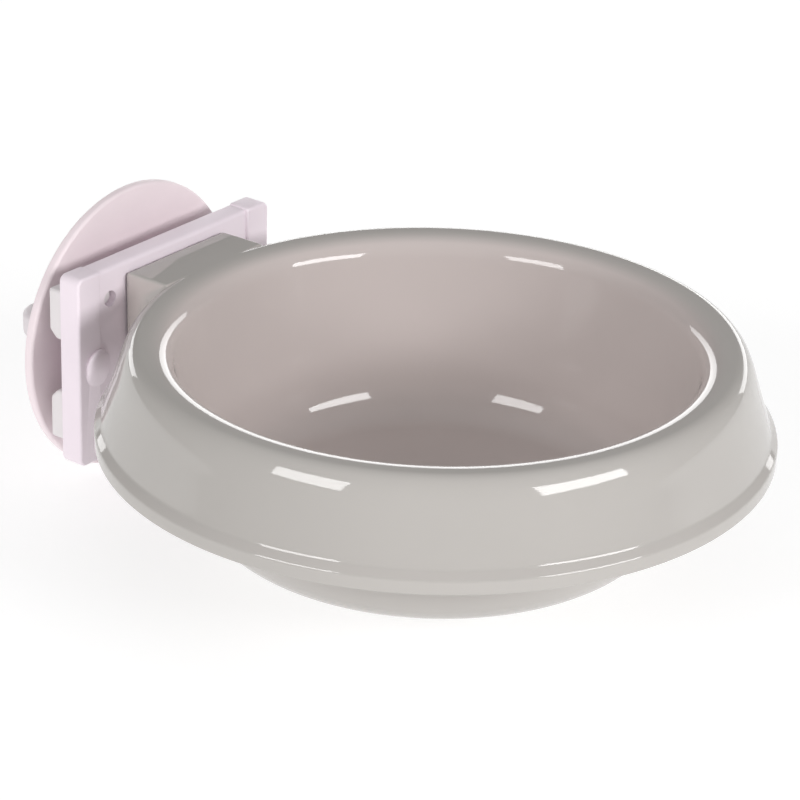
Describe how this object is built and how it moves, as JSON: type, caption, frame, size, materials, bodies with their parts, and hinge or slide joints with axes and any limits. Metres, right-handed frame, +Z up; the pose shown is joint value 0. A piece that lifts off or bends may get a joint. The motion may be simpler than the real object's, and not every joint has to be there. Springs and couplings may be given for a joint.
{
  "type": "hanging pet bowl",
  "caption": "Round feeding bowl with a skirted rim, hooked onto a plate that a screw clamp with a disc and a wing nut holds on the wires of a crate.",
  "frame": {"origin": "where the clamp screw's axis meets the faces of the grip pads, which press on the crate's wires", "axes": "+Y runs along the screw from the bowl to the wing nut, +Z is up, and X runs along the plate"},
  "size_m": [0.16, 0.1991, 0.0734],
  "materials": {
    "bowl_grey": "gloss",
    "plate_lilac": "satin",
    "pad_white": "matte",
    "disc_rose": "satin",
    "nut_pale": "satin",
    "zinc_steel": "satin"
  },
  "bodies": {
    "holder": {"holder_plate": "plate_lilac", "pad_upper_left": "pad_white", "pad_upper_right": "pad_white", "pad_lower_left": "pad_white", "pad_lower_right": "pad_white", "clamp_screw": "zinc_steel"},
    "bowl": {"bowl": "bowl_grey"},
    "disc": {"clamp_disc": "disc_rose"},
    "wing_nut": {"wing_nut": "nut_pale", "thread_nut": "zinc_steel"}
  },
  "joints": [
    {"name": "bowl_lift", "type": "slide", "parent": "holder", "child": "bowl", "axis": [0, 0, 1], "range_m": [0, 0.0212]},
    {"name": "disc_slide", "type": "slide", "parent": "holder", "child": "disc", "axis": [0, 1, 0], "range_m": [-0.0029, 0.0084]},
    {"name": "wing_turn", "type": "hinge", "parent": "disc", "child": "wing_nut", "pos_m": [0, 0.0059, 0], "axis": [0, 1, 0], "range_deg": [-840, 2430]}
  ],
  "couplings": [
    {"joint": "wing_turn", "follows": "disc_slide", "rad_per_m": 5026.5}
  ]
}
